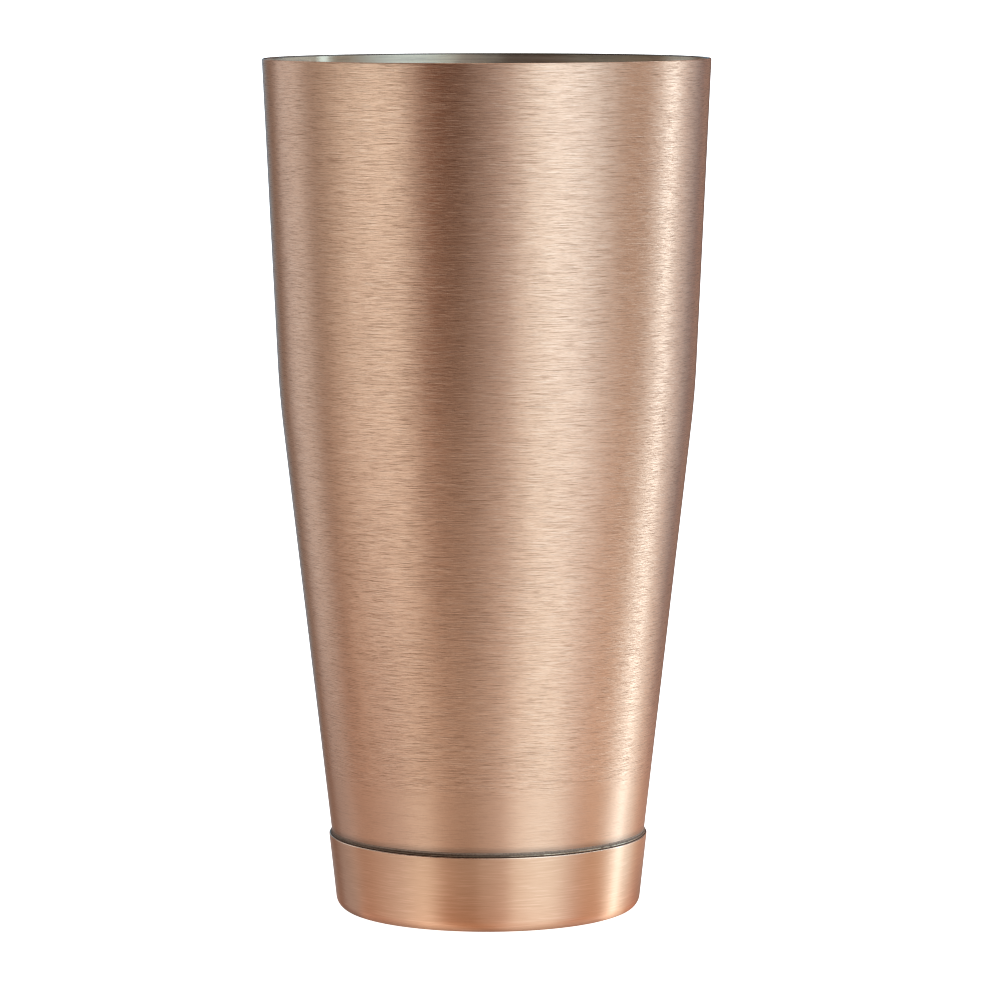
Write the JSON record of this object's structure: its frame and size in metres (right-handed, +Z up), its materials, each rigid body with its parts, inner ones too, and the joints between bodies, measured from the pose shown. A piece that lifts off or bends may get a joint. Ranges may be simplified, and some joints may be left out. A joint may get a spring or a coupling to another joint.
{
  "type": "weighted cocktail shaking tin",
  "caption": "Full-size cocktail shaking tin: a tapered, copper-plated steel cup with an open rim, a soft shoulder and a pressed-on cap that holds a steel weight under the floor.",
  "frame": {"origin": "on the tin's axis, on the flat ring of the base cap that it stands on", "axes": "+Z up along the tin's axis, from the base cap to the open mouth; X and Y are any two directions across it, as the tin is round"},
  "size_m": [0.092, 0.092, 0.176],
  "materials": {
    "copper_plate": "antique copper plate on steel, brushed round the tin and lacquered; the inside is bare brushed steel",
    "cap_plate": "antique copper plate on steel, with a finer grain than the tin",
    "seam_weld": "darkened bead of weld and patina, slightly uneven, with small bright flecks",
    "slug_steel": "turned mild steel with fine rings",
    "bond": "cured epoxy, slightly mottled"
  },
  "bodies": {
    "root": {"tin_body": "copper_plate", "base_cap": "cap_plate", "base_weight": "slug_steel", "upper_bond": "bond", "lower_bond": "bond", "seam_bead": "seam_weld"}
  },
  "joints": []
}
